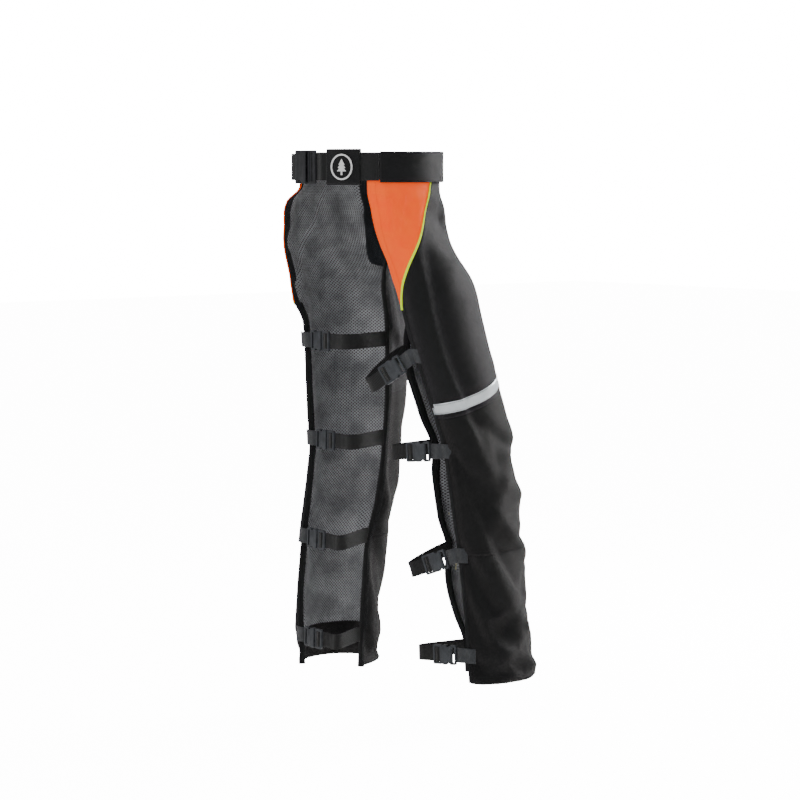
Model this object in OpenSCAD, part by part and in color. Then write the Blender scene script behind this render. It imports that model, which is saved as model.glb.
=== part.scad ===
// Open-back chainsaw chaps: a belt with a side-release buckle and two padded leg panels,
// each closed behind the leg by four buckled straps.
// +Z is up, the wearer faces -Y, and the origin is the middle of the waist at belt mid-height.

/* [Belt] */
// Half-width of the waist oval from side to side, at the outer face of the leg panels
waist_half_x = 160; // [140:1:200]
// Half-depth of the waist oval from front to back
waist_half_y = 115; // [95:1:140]
// Radius of the flatter front and back arcs
waist_arc_r = 200; // [180:1:260]
// Height of the cloth waistband
band_h = 57; // [45:1:70]
// Thickness of the cloth waistband
band_t = 4.5; // [3:0.5:7]
// Width of the belt webbing
belt_w = 50; // [38:1:60]
// Thickness of the belt webbing
belt_t = 2.2; // [1.5:0.1:3]
// Height of the elastic keeper sleeve
keeper_h = 68; // [58:1:75]
// Travel of the belt buckle when it is opened
belt_release = 22; // [15:1:30]

/* [Leg panels] */
// Length from belt middle to hem, standing leg
left_len = 958; // [800:1:1100]
// Length from belt middle to hem, forward leg
right_len = 980; // [800:1:1100]
// Radial clearance between the waistband and the leg panel tucked inside it
tuck = 2.8; // [2.5:0.1:4]
// Thickness of the outer cloth
shell_t = 1.2; // [0.8:0.1:2]
// Thickness of the cut-resistant pad
pad_t = 3.6; // [3:0.1:8]
// Thickness of the mesh lining
mesh_t = 1; // [0.6:0.1:2]
// Gap kept between neighbouring layers
layer_gap = 1.7; // [0.6:0.1:2]

/* [Leg straps] */
// Width of the leg strap webbing
strap_w = 30; // [25:1:38]
// Thickness of the leg strap webbing
strap_t = 1.6; // [1.2:0.1:2.5]
// Travel of a strap buckle when it is opened
strap_release = 18; // [12:1:22]

/* [Hidden] */
$fn = 48;
eps = 0.3;
bar_r = waist_arc_r;
side_r = (bar_r*bar_r - waist_half_x*waist_half_x - pow(bar_r - waist_half_y, 2))
         / (2*(bar_r - waist_half_x));
side_x = waist_half_x - side_r;
arc_off = bar_r - waist_half_y;
join_a = 90 - atan2(side_x, arc_off);
hip_top = -band_h/2;
hip_len = 222;
panel_top = hip_top + 5;
d_pad = shell_t + layer_gap;
d_mesh = d_pad + pad_t + layer_gap;
d_end = d_mesh + mesh_t;
bind_f = 0.036;

// ---- waist oval: n is the direction its face looks, 0 to the side, 90 front, -90 rear ----
function oval(n, d) = abs(n) <= join_a
  ? [side_x + (side_r - d)*cos(n), -(side_r - d)*sin(n)]
  : [(bar_r - d)*cos(n), (n > 0 ? arc_off : -arc_off) - (bar_r - d)*sin(n)];
// g runs right round the waist: 0 front, 90 the wearer's left, 180 the rear, -90 the right
function round_waist(g, d) = let(p = oval(90 - abs(g), d)) [g < 0 ? -p.x : p.x, p.y];

// ---- leg stations, own side: height, centre outwards, centre rearwards, radius ----
// leg 0 is the wearer's left, standing; leg 1 is the right, stepping forwards
stations = [
  [[0, 104, -20, 104], [-120, 106, -25, 104], [-280, 110, -57, 107], [-350, 112, -62, 105],
   [-450, 112, -63, 102], [-550, 110, -59, 93], [-650, 108, -41, 90], [-715, 106, -20, 84],
   [-840, 104, -9, 82], [-1000, 102, -4, 75]],
  [[0, 103, -20, 92], [-120, 103, -35, 94], [-270, 104, -71, 96], [-345, 106, -95, 95],
   [-450, 108, -133, 90], [-540, 110, -162, 86], [-640, 113, -175, 85], [-718, 116, -187, 84],
   [-835, 119, -199, 82], [-1000, 122, -210, 78]]];
function col(k, i, z) = lookup(z, [for (s = stations[k]) [s[0], s[i]]]);
function smooth_col(k, i, z) = (col(k, i, z - 30) + 2*col(k, i, z) + col(k, i, z + 30))/4;
turn_of = [3, -3];
function ease(t) = let(u = max(0, min(1, t))) u*u*(3 - 2*u);
// f runs across a leg panel from its rear outer edge (0) to its front or inner edge (1)
function face_angle(k, f) = -74 + 255*f + turn_of[k];
function waist_angle(f) = -60 + 148*f;
// the forward leg's panel reaches further round its inner side between thigh and shin
function wrap(k, z) = k == 0 ? 0 : 24*ease((-270 - z)/110)*(1 - 0.7*ease((-800 - z)/120));
function leg_xy(k, z, f, d) = let(
    t = ease((hip_top - z)/hip_len),
    a = face_angle(k, f) + f*wrap(k, z),
    r = smooth_col(k, 3, z),
    hip = 12*ease(1 - abs(z + 127)/90)*pow(max(0, cos(a + (k == 0 ? 50 : 20))), 2),
    w = oval(waist_angle(f), d + tuck - hip),
    l = [smooth_col(k, 1, z) + (0.96*r - d + hip)*cos(a),
         smooth_col(k, 2, z) - (1.03*r - d + hip)*sin(a)])
  w*(1 - t) + l*t;
function side(k) = k == 0 ? 1 : -1;
function leg_pt(k, z, f, d) = let(p = leg_xy(k, z, f, d)) [side(k)*p.x, p.y, z];

// ---- seam lines: each leans with its own leg, so it is higher in front ----
knee_mid = [-432, -440];
knee_lean = [12, 32];
shin_mid = [-706, -725];
shin_lean = [2, 7];
hem_lean = [2, 4];
function line_z(mid, lean, k, f) = mid + lean*sin(face_angle(k, f));
function knee_z(k, f) = line_z(knee_mid[k], knee_lean[k], k, f);
function shin_z(k, f) = line_z(shin_mid[k], shin_lean[k], k, f);
function hem_z(k, f) = line_z(-[left_len, right_len][k], hem_lean[k], k, f);
gusset_tip = -262;
function gusset_f(z) = 0.48*pow(1 - pow(max(0, min(1, (hip_top - z)/(hip_top - gusset_tip))), 1.2), 1.7);
// rear edge of the mesh-backed part of the lining, above which the smooth belly facing starts
function facing_f(z) = 0.78 - 0.19*ease((-70 - z)/120) + 0.38*ease((-186 - z)/40);
function mix(a, b, t) = a + (b - a)*t;

// A curved slab between depths d0 and d1. Row v and column u run 0..1; zf(u, v) and ff(v, z)
// place each grid point.
module slab(k, nu, nv, d0, d1, top, bot, lo, hi, crowd = 1) {
  outer = [for (j = [0:nv]) for (i = [0:nu])
    let(u = i/nu, v = pow(j/nv, crowd), zm = mix(top(0.5), bot(0.5), v),
        f0 = mix(lo(zm), hi(zm), u), z = mix(top(f0), bot(f0), v), f = mix(lo(z), hi(z), u))
      leg_pt(k, z, f, d0)];
  inner = [for (j = [0:nv]) for (i = [0:nu])
    let(u = i/nu, v = pow(j/nv, crowd), zm = mix(top(0.5), bot(0.5), v),
        f0 = mix(lo(zm), hi(zm), u), z = mix(top(f0), bot(f0), v), f = mix(lo(z), hi(z), u))
      leg_pt(k, z, f, d1)];
  m = (nu + 1)*(nv + 1);
  function id(i, j) = j*(nu + 1) + i;
  quads = concat(
    [for (j = [0:nv-1]) for (i = [0:nu-1]) [id(i,j), id(i+1,j), id(i+1,j+1), id(i,j+1)]],
    [for (j = [0:nv-1]) for (i = [0:nu-1])
      [m+id(i,j), m+id(i,j+1), m+id(i+1,j+1), m+id(i+1,j)]],
    [for (i = [0:nu-1]) [m+id(i,0), m+id(i+1,0), id(i+1,0), id(i,0)]],
    [for (i = [0:nu-1]) [id(i,nv), id(i+1,nv), m+id(i+1,nv), m+id(i,nv)]],
    [for (j = [0:nv-1]) [id(0,j), id(0,j+1), m+id(0,j+1), m+id(0,j)]],
    [for (j = [0:nv-1]) [m+id(nu,j), m+id(nu,j+1), id(nu,j+1), id(nu,j)]]);
  tris = [for (q = quads) each [[q[0], q[1], q[2]], [q[0], q[2], q[3]]]];
  polyhedron(concat(outer, inner), k == 0 ? [for (t = tris) [t[2], t[1], t[0]]] : tris);
}

// ---- one leg panel's layers ----
module thigh_shell(k) color([0.09, 0.09, 0.10])
  slab(k, 26, 17, 0, shell_t, function(f) panel_top, function(f) knee_z(k, f) + eps,
    function(z) max(bind_f, gusset_f(z) + 0.022), function(z) 1 - bind_f);
module knee_shell(k) color([0.15, 0.14, 0.14])
  slab(k, 26, 9, 0, shell_t, function(f) knee_z(k, f) - eps, function(f) shin_z(k, f) + eps,
    function(z) bind_f, function(z) 1 - bind_f);
module shin_shell(k) color([0.15, 0.14, 0.14])
  slab(k, 26, 8, 0, shell_t, function(f) shin_z(k, f) - eps, function(f) hem_z(k, f),
    function(z) bind_f, function(z) 1 - bind_f);
module hip_gusset(k) color([0.96, 0.48, 0.17])
  slab(k, 12, 9, 0, shell_t, function(f) panel_top, function(f) gusset_tip + 10,
    function(z) 0.002, function(z) gusset_f(z) - 0.002);
module hip_piping(k) color([0.84, 0.93, 0.27])
  slab(k, 2, 16, -0.8, 1.6, function(f) hip_top - 1, function(f) gusset_tip + 4,
    function(z) gusset_f(z) + 0.003, function(z) gusset_f(z) + 0.017);
module reflective_strip(k) color([0.86, 0.88, 0.90])
  slab(k, 20, 1, -1.3, -0.4, function(f) knee_z(k, f) + 28, function(f) knee_z(k, f) + 8,
    function(z) bind_f + 0.004, function(z) 0.78);
module protective_pad(k) color([0.93, 0.90, 0.80])
  slab(k, 24, 22, d_pad, d_pad + pad_t, function(f) -75, function(f) hem_z(k, f) + 22,
    function(z) max(bind_f + 0.01, gusset_f(z) + 0.03), function(z) 0.95, 1.4);
module mesh_lining(k) color([0.28, 0.28, 0.30])
  slab(k, 24, 24, d_mesh, d_end, function(f) hip_top - 6, function(f) hem_z(k, f) + 6,
    function(z) z > gusset_tip + 30 ? 0.004 : bind_f + 0.004,
    function(z) min(facing_f(z), 0.996 - bind_f), 1.4);
module belly_facing(k) color([0.10, 0.10, 0.12])
  slab(k, 12, 16, d_end + 2, d_end + 3, function(f) hip_top - 6, function(f) -174,
    function(z) max(facing_f(z), facing_f(z - 40)) + 0.03, function(z) 0.996 - bind_f);
module edge_binding(k) color([0.07, 0.07, 0.08]) {
  slab(k, 1, 26, -0.6, d_end + 0.6, function(f) gusset_tip - 2, function(f) hem_z(k, f),
    function(z) 0, function(z) bind_f - 0.004);
  slab(k, 1, 34, -0.6, d_end + 0.6, function(f) hip_top - 1, function(f) hem_z(k, f),
    function(z) 1 - bind_f + 0.004, function(z) 1);
}

// ---- strap placing: height, turn towards the leg, droop of the buckle, tab length ----
straps = [
  [[-331, 27, 0, 24], [-521, 27, 1, 24], [-708, 25, 3, 22], [-899, 25, 2, 22]],
  [[-350, -4, 33, 26], [-533, -5, 4, 24], [-733, -5, 20, 22], [-928, -2, 2, 20]]];
buckle_w = strap_w + 8;
socket_len = 30;
plug_len = 20;
run_len = strap_release + 8;
function edge_dir(k, z) = let(p = leg_xy(k, z, 0, 3), q = leg_xy(k, z, 0.02, 3)) p - q;
function heading(k, i) = let(e = edge_dir(k, straps[k][i][0])) atan2(e.y, e.x) + straps[k][i][1];
function edge_at(k, z, f) = leg_xy(k, z, f, -3.4);
function turn2(p, a) = [p.x*cos(a) - p.y*sin(a), p.x*sin(a) + p.y*cos(a)];
// own-side point of a strap's own frame: x along the strap, -y away from the leg, z up
function from_strap(k, i, p) = let(
    s = straps[k][i], o = edge_at(k, s[0], 0), b = -s[2],
    q = [p.x*cos(b) - p.z*sin(b), p.y, p.x*sin(b) + p.z*cos(b)],
    r = turn2([q.x, q.y], heading(k, i)))
  [o.x + r.x, o.y + r.y, s[0] + q.z];
module on_strap(k, i) {
  s = straps[k][i];
  o = edge_at(k, s[0], 0);
  mirror([k, 0, 0]) translate([o.x, o.y, s[0]]) rotate([0, 0, heading(k, i)])
    rotate([0, s[2], 0]) children();
}
function unit3(v) = v/norm(v);
// A ribbon with its centre line along pts and its width along the matching directions wide
module ribbon(pts, wide, w, t) {
  n = len(pts);
  tang = [for (i = [0:n-1]) unit3(pts[min(i+1, n-1)] - pts[max(i-1, 0)])];
  thick = [for (i = [0:n-1]) unit3(cross(tang[i], wide[i]))];
  p = [for (i = [0:n-1]) each [
    pts[i] + wide[i]*w/2 + thick[i]*t/2, pts[i] - wide[i]*w/2 + thick[i]*t/2,
    pts[i] - wide[i]*w/2 - thick[i]*t/2, pts[i] + wide[i]*w/2 - thick[i]*t/2]];
  tris = concat(
    [for (i = [0:n-2]) for (j = [0:3]) let(a = 4*i + j, b = 4*i + (j+1)%4)
      each [[a, b, b + 4], [a, b + 4, a + 4]]],
    [[0, 2, 1], [0, 3, 2], [4*n-4, 4*n-3, 4*n-2], [4*n-4, 4*n-2, 4*n-1]]);
  polyhedron(p, [for (q = tris) [q[2], q[1], q[0]]]);
}
function bez(a, b, c, d, t) = let(u = 1 - t) a*u*u*u + b*3*u*u*t + c*3*u*t*t + d*t*t*t;
function lift(p, z) = [p.x, p.y, z];
web_y = 2.5 + 0.5 + strap_t/2;

module strap_webbing(k, i) color([0.07, 0.07, 0.08]) mirror([k, 0, 0]) {
  s = straps[k][i];
  x0 = s[3] + socket_len + 6;
  x1 = s[3] + socket_len + plug_len + run_len;
  a = from_strap(k, i, [x0, web_y, 0]);
  b = from_strap(k, i, [x1, web_y, 0]);
  ahead = unit3(b - a);
  zb = s[0] + (k == 0 ? 4 : -2);
  e = leg_xy(k, zb, 1, 4);
  back = e - leg_xy(k, zb, 0.985, 4);
  e_dir = back/norm(back);
  stop = lift(e + 3.4*e_dir, zb);
  reach = 0.36*norm(stop - b);
  c2 = stop + reach*[e_dir.x, e_dir.y, 0];
  up0 = unit3(from_strap(k, i, [0, 0, 1]) - from_strap(k, i, [0, 0, 0]));
  pts = concat([a, mix(a, b, 0.5)],
    [for (j = [0:14]) bez(b, b + ahead*reach, c2, stop, j/14)]);
  wide = concat([up0, up0], [for (j = [0:14]) let(
      q = mix(up0, [0, 0, 1], ease(j/9)), g = unit3(pts[min(j+3, 16)] - pts[j+1]))
      unit3(q - g*(q*g))]);
  ribbon(pts, wide, strap_w - 1, strap_t);
}
// A tab lies on the outer cloth, runs back past the edge and passes under its socket's bar
module strap_tab(k, i) color([0.28, 0.29, 0.31]) mirror([k, 0, 0]) {
  s = straps[k][i];
  on = [for (f = [0.045, 0.03, 0.015, 0.002]) lift(leg_xy(k, s[0], f, -3), s[0])];
  along = unit3(lift(leg_xy(k, s[0] + 12, 0.02, -3), s[0] + 12)
    - lift(leg_xy(k, s[0] - 12, 0.02, -3), s[0] - 12));
  pts = concat(on, [from_strap(k, i, [7, 0, 0]), from_strap(k, i, [13, 1, 0]),
    from_strap(k, i, [s[3] - 2, web_y, 0]), from_strap(k, i, [s[3] + 9, web_y, 0])]);
  up0 = unit3(from_strap(k, i, [0, 0, 1]) - from_strap(k, i, [0, 0, 0]));
  n = len(pts);
  wide = [for (j = [0:n-1]) let(q = mix(along, up0, ease((j - 2)/4)),
    g = unit3(pts[min(j+1, n-1)] - pts[max(j-1, 0)])) unit3(q - g*(q*g))];
  ribbon(pts, wide, strap_w - 1, strap_t);
}

// ---- side-release buckle halves: x along the strap, y through, z across the width ----
// Outline of a plate with rounded corners, standing in x and z
module plate(x0, x1, half, t, r) rotate([90, 0, 0]) translate([0, 0, -t/2]) linear_extrude(t)
  union() {
    translate([x0 + r, -half]) square([x1 - x0 - 2*r, 2*half]);
    translate([x0, -half + r]) square([x1 - x0, 2*half - 2*r]);
    for (x = [x0 + r, x1 - r]) for (z = [-half + r, half - r]) translate([x, z]) circle(r);
  }
// Socket: tail frame with one bar and slot, then a hollow body open at its mouth (+x)
module socket_half(len, w, t, rim) color([0.20, 0.20, 0.21]) difference() {
  union() {
    plate(0, 11 + rim, w/2, 5, 3);
    plate(10, len, w/2, t, 3.5);
  }
  translate([rim, -10, -(w/2 - rim - 1)]) cube([5.5, 20, w - 2*rim - 2]);
  for (m = [0, 1]) mirror([0, 0, m]) translate([10 + (len - 10)*0.3, 0, w/2 + 0.8])
    rotate([90, 0, 0]) cylinder(r = w*0.12, h = 30, center = true);
  translate([14, -(t/2 - 1.6), -(w/2 - 2.2)]) cube([len, t - 3.2, w - 4.4]);
}
// Plug: webbing frame with two bars, a middle tongue and two side arms with barbs
module plug_half(len, w, t, reach) color([0.20, 0.20, 0.21]) union() {
  difference() {
    plate(0.6, len, w/2, 5, 3);
    for (x = [5.5, 12.5]) translate([x + (len - 20)/2, -10, -(w/2 - 4)]) cube([3.6, 20, w - 8]);
  }
  translate([-reach, -1.4, -4]) cube([reach + 2, 2.8, 8]);
  for (m = [0, 1]) mirror([0, 0, m]) {
    translate([-reach + 3, -1.6, w/2 - 8]) cube([reach, 3.2, 3.2]);
    translate([-reach, -1.6, w/2 - 7]) rotate([90, 0, 0]) translate([0, 0, -3.2])
      linear_extrude(3.2) polygon([[0, 0], [5, -1.5], [9, 0], [9, 4], [0, 2.5]]);
  }
}
module strap_sockets(k) for (i = [0:3]) on_strap(k, i) translate([straps[k][i][3], 0, 0])
  socket_half(socket_len, buckle_w, 9, 3);
module strap_plug(k, i) on_strap(k, i) translate([straps[k][i][3] + socket_len, 0, 0])
  plug_half(plug_len, buckle_w, 9, 14);

// ---- belt ----
buckle_phi = 6;
keeper_phi = -16.8;
function arc_pts(g0, g1, d, n) = [for (i = [0:n]) round_waist(mix(g0, g1, i/n), d)];
module wrap(g0, g1, d_in, d_out, h, n) translate([0, 0, -h/2]) linear_extrude(h)
  polygon(concat(arc_pts(g0, g1, d_out, n), arc_pts(g1, g0, d_in, n)));
module waistband() color([0.08, 0.08, 0.09]) wrap(-142.4, 156, 0, -band_t, band_h, 96);
// Arc ribbon on the rear arc between two bearings from straight behind, plus to the wearer's left
module rear_arc(p0, p1, r0, r1, h) translate([0, -arc_off, -h/2])
  rotate([0, 0, 90 - p1]) rotate_extrude(angle = p1 - p0, $fn = 180)
    translate([r0, 0]) square([r1 - r0, h]);
module at_rear(phi, r) translate([0, -arc_off, 0]) rotate([0, 0, -phi]) translate([0, r, 0])
  children();
// the buckle lies straight across the back: its socket towards the wearer's left
belt_r = bar_r + 10;
belt_socket_len = 42;
belt_plug_len = 26;
module on_belt() at_rear(buckle_phi, belt_r) translate([8, 0, 0]) mirror([1, 0, 0]) children();
module belt_buckle_socket() on_belt() translate([-belt_socket_len, 0, 0])
  socket_half(belt_socket_len, belt_w + 12, 12, 4);
module belt_buckle_plug() on_belt() plug_half(belt_plug_len, belt_w + 12, 12, 22);
// A flat strap standing on edge: pts is its centre line seen from above
module flat_strap(pts, t, w) {
  n = len(pts);
  nor = [for (i = [0:n-1]) let(q = pts[min(i+1, n-1)] - pts[max(i-1, 0)]) [-q.y, q.x]/norm(q)];
  translate([0, 0, -w/2]) linear_extrude(w) polygon(concat(
    [for (i = [0:n-1]) pts[i] + nor[i]*t/2], [for (i = [n-1:-1:0]) pts[i] - nor[i]*t/2]));
}
short_r = belt_r - 6 - 0.5 - belt_t/2;
function rear_pt(phi, r) = [r*sin(phi), r*cos(phi) - arc_off];
// point in the buckle's own frame: x to the wearer's left along it, y out from the arc's centre
function buckle_pt(x, y) = let(p = turn2([x, y], -buckle_phi)) [p.x, p.y - arc_off];
web_r = belt_r - 2.5 - 0.4 - belt_t/2;
sewn_r = bar_r + 2 + belt_t/2;
// Long webbing: under the plug's bars, straight, then round the back to the waistband
module belt_webbing() color([0.09, 0.09, 0.10]) flat_strap(concat(
  [buckle_pt(-6, web_r), buckle_pt(-24, web_r), buckle_pt(-31, web_r - 1.2)],
  [for (phi = [-5:-2:-37]) rear_pt(phi, sewn_r)]), belt_t, belt_w);
// Short webbing: under the socket's bar, straight for its travel, then sewn on the waistband
module belt_short_webbing() color([0.09, 0.09, 0.10]) flat_strap(concat(
  [for (p = [[44, 0], [74, 0], [80, -2.5], [86, -8]]) buckle_pt(p.x, short_r + p.y)],
  [for (phi = [33:1:38]) rear_pt(phi, bar_r + band_t + eps + belt_t/2)]), belt_t, belt_w);
module belt_keeper() color([0.10, 0.10, 0.11]) difference() {
  rear_arc(keeper_phi - 10.3, keeper_phi + 10.3, bar_r + 0.3, bar_r + 8.2, keeper_h);
  rear_arc(keeper_phi - 12, keeper_phi + 12, bar_r + 1.6, bar_r + 6, belt_w + 4);
}
// a plain ring round a fir tree, lying just proud of the sleeve
module keeper_badge() color([0.85, 0.85, 0.84]) at_rear(keeper_phi, bar_r + 8.6)
  rotate([-90, 0, 0]) linear_extrude(1.4) {
    difference() { circle(r = 24, $fn = 96); circle(r = 21, $fn = 96); }
    difference() {
      union() {
        translate([-1.6, 4]) square([3.2, 11]);
        for (i = [0:2]) translate([0, 6*i - 8]) polygon([[0, -7], [6.5 + 1.8*i, 4], [-6.5 - 1.8*i, 4]]);
      }
    }
  }

module left_thigh_shell() thigh_shell(0);
module left_knee_shell() knee_shell(0);
module left_shin_shell() shin_shell(0);
module left_hip_gusset() hip_gusset(0);
module left_hip_piping() hip_piping(0);
module left_reflective_strip() reflective_strip(0);
module left_protective_pad() protective_pad(0);
module left_mesh_lining() mesh_lining(0);
module left_belly_facing() belly_facing(0);
module left_edge_binding() edge_binding(0);
module left_strap_tabs() for (i = [0:3]) strap_tab(0, i);
module left_strap_sockets() strap_sockets(0);
module right_thigh_shell() thigh_shell(1);
module right_knee_shell() knee_shell(1);
module right_shin_shell() shin_shell(1);
module right_hip_gusset() hip_gusset(1);
module right_hip_piping() hip_piping(1);
module right_reflective_strip() reflective_strip(1);
module right_protective_pad() protective_pad(1);
module right_mesh_lining() mesh_lining(1);
module right_belly_facing() belly_facing(1);
module right_edge_binding() edge_binding(1);
module right_strap_tabs() for (i = [0:3]) strap_tab(1, i);
module right_strap_sockets() strap_sockets(1);

waistband();
belt_webbing();
belt_short_webbing();
belt_buckle_socket();
belt_buckle_plug();
belt_keeper();
keeper_badge();
left_thigh_shell();
left_knee_shell();
left_shin_shell();
left_hip_gusset();
left_hip_piping();
left_reflective_strip();
left_protective_pad();
left_mesh_lining();
left_belly_facing();
left_edge_binding();
left_strap_tabs();
left_strap_sockets();
strap_webbing(0, 0);  // left_webbing_1
strap_webbing(0, 1);  // left_webbing_2
strap_webbing(0, 2);  // left_webbing_3
strap_webbing(0, 3);  // left_webbing_4
strap_plug(0, 0);  // left_plug_1
strap_plug(0, 1);  // left_plug_2
strap_plug(0, 2);  // left_plug_3
strap_plug(0, 3);  // left_plug_4
right_thigh_shell();
right_knee_shell();
right_shin_shell();
right_hip_gusset();
right_hip_piping();
right_reflective_strip();
right_protective_pad();
right_mesh_lining();
right_belly_facing();
right_edge_binding();
right_strap_tabs();
right_strap_sockets();
strap_webbing(1, 0);  // right_webbing_1
strap_webbing(1, 1);  // right_webbing_2
strap_webbing(1, 2);  // right_webbing_3
strap_webbing(1, 3);  // right_webbing_4
strap_plug(1, 0);  // right_plug_1
strap_plug(1, 1);  // right_plug_2
strap_plug(1, 2);  // right_plug_3
strap_plug(1, 3);  // right_plug_4
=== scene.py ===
# %% [markdown]
# # Open-back chainsaw chaps
# The chaps are a belt with two padded leg panels. Each panel is a flat cloth pattern in several layers
# that wraps the front of a leg, and four buckled straps close it behind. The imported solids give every
# size and joint; this lesson dresses them in cloth, mesh, webbing and moulded plastic.

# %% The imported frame
import math
import bpy
import bmesh
from mathutils import Vector, Matrix, noise


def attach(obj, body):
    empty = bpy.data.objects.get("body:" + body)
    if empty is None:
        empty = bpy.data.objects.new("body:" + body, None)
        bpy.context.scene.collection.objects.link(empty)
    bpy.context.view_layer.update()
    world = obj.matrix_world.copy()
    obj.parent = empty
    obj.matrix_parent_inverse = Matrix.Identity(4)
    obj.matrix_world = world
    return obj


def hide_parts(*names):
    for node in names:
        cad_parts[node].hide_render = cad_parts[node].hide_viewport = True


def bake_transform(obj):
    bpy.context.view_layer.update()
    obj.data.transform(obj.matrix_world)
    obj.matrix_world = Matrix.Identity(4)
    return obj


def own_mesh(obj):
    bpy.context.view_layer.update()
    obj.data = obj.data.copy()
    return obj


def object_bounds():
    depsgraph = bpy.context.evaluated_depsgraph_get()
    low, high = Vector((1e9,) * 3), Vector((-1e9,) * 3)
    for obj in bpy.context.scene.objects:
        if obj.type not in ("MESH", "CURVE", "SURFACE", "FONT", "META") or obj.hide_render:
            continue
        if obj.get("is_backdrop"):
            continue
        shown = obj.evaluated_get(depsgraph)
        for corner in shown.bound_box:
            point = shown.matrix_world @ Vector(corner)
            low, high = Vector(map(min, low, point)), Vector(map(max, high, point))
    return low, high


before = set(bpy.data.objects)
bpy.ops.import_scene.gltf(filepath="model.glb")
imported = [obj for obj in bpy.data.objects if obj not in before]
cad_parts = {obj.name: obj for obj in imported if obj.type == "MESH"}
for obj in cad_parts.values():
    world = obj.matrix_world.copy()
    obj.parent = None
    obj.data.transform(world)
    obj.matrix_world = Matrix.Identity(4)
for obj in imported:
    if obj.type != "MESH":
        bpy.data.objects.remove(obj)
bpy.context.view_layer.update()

# %% [markdown]
# The camera comes first. It stands behind the wearer's right hip, level with the belt and far away, with
# a long lens, which is how clothing is usually shown: the legs stay parallel and nothing bulges.

# %% Camera
def flat_direction(azimuth):
    a = math.radians(azimuth)
    return Vector((math.sin(a), -math.cos(a), 0))

CAMERA_AZIMUTH, CAMERA_AWAY = 230, 5.0
towards_camera = flat_direction(CAMERA_AZIMUTH)
picture_right = flat_direction(CAMERA_AZIMUTH + 90)
aim = picture_right * 0.058 + Vector((0, 0, -0.441))
camera = bpy.data.objects.new("camera", bpy.data.cameras.new("camera"))
bpy.context.collection.objects.link(camera)
camera.location = picture_right * 0.058 + towards_camera * CAMERA_AWAY
camera.rotation_mode = "QUATERNION"
camera.rotation_quaternion = (aim - camera.location).to_track_quat("-Z", "Y")
camera.data.lens = 118.9
camera.data.sensor_width = 36
bpy.context.scene.camera = camera
print("camera at", [round(v, 2) for v in camera.location])

# %% [markdown]
# Materials are node trees. One function turns a hex colour to linear light, and one adds a node with its
# settings and links, so that each finish below reads as a short list of what it is made of.

# %% Material helpers
def ink(code):
    parts = [int(code[i:i + 2], 16) / 255 for i in (0, 2, 4)]
    return [c / 12.92 if c <= 0.04045 else ((c + 0.055) / 1.055) ** 2.4 for c in parts] + [1]

def add(tree, kind, settings=None, **links):
    node = tree.nodes.new(kind)
    for key, value in (settings or {}).items():
        if key in node.bl_rna.properties:
            setattr(node, key, value)
        else:
            node.inputs[int(key[1:]) if key[0] == "#" else key].default_value = value
    for key, source in links.items():
        key = key.replace("__", " ")
        socket = node.inputs[int(key[1:])] if key[0] == "_" else node.inputs[key]
        tree.links.new(source, socket)
    return node

def finish_named(name, **base):
    material = bpy.data.materials.new(name)
    material.use_nodes = True
    tree = material.node_tree
    shader = tree.nodes["Principled BSDF"]
    for key, value in base.items():
        shader.inputs[key.replace("__", " ")].default_value = value
    return material, tree, shader

def cloth_uv(tree, across, along):
    """The piece's own cloth coordinates, counted in threads of those sizes in millimetres."""
    place = add(tree, "ShaderNodeTexCoord")
    return add(tree, "ShaderNodeMapping", {"Scale": (1000 / across, 1000 / along, 1)},
               Vector=place.outputs["UV"])

def maths(tree, what, a, b=None, **extra):
    node = add(tree, "ShaderNodeMath", {"operation": what, **extra})
    for i, v in enumerate((a, b)):
        if v is None:
            continue
        if isinstance(v, (int, float)):
            node.inputs[i].default_value = v
        else:
            tree.links.new(v, node.inputs[i])
    return node.outputs[0]

def waves(tree, mapping):
    """Two sine waves, one across the cloth and one along it."""
    parts = add(tree, "ShaderNodeSeparateXYZ", Vector=mapping.outputs[0])
    return [maths(tree, "SINE", maths(tree, "MULTIPLY", parts.outputs[i], math.tau)) for i in (0, 1)]

def blotches(tree, size_mm, detail=3.0):
    place = add(tree, "ShaderNodeTexCoord")
    return add(tree, "ShaderNodeTexNoise", {"Scale": 1000 / size_mm, "Detail": detail},
               Vector=place.outputs["Object"]).outputs["Fac"]

def two_tone(tree, shader, factor, dark, light, low=0.3, high=0.7):
    ramp = add(tree, "ShaderNodeValToRGB", Fac=factor)
    ramp.color_ramp.elements[0].position, ramp.color_ramp.elements[1].position = low, high
    ramp.color_ramp.elements[0].color, ramp.color_ramp.elements[1].color = ink(dark), ink(light)
    tree.links.new(ramp.outputs["Color"], shader.inputs["Base Color"])
    return ramp.outputs["Color"]

def bumped(tree, shader, height, distance_mm, strength=1.0):
    bump = add(tree, "ShaderNodeBump", {"Distance": distance_mm / 1000, "Strength": strength},
               Height=height)
    tree.links.new(bump.outputs["Normal"], shader.inputs["Normal"])

# %% [markdown]
# The shell is dense polyester, woven from textured yarn about half a millimetre thick. It is nearly
# black, so the eye reads it by its sheen: fibre ends catch light at grazing angles. The weave is drawn
# at 1.4 mm, coarser than real, so that it shows. The knee and shin cloth is a rougher charcoal nylon.

# %% Woven cloths
def woven(name, dark, light, thread, rough, sheen, tint="FFFFFF", relief=0.35):
    material, tree, shader = finish_named(name, Roughness=rough, IOR=1.5, Sheen__Weight=sheen,
                                          Sheen__Roughness=0.45, Sheen__Tint=ink(tint))
    weave = waves(tree, cloth_uv(tree, thread, thread))
    crossing = maths(tree, "MULTIPLY", weave[0], weave[1])
    mottle = blotches(tree, 26)
    mixed = maths(tree, "ADD", maths(tree, "MULTIPLY", crossing, 0.16), mottle)
    two_tone(tree, shader, mixed, dark, light)
    bumped(tree, shader, crossing, relief)
    shader.inputs["Specular IOR Level"].default_value = 0.3
    return material

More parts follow.
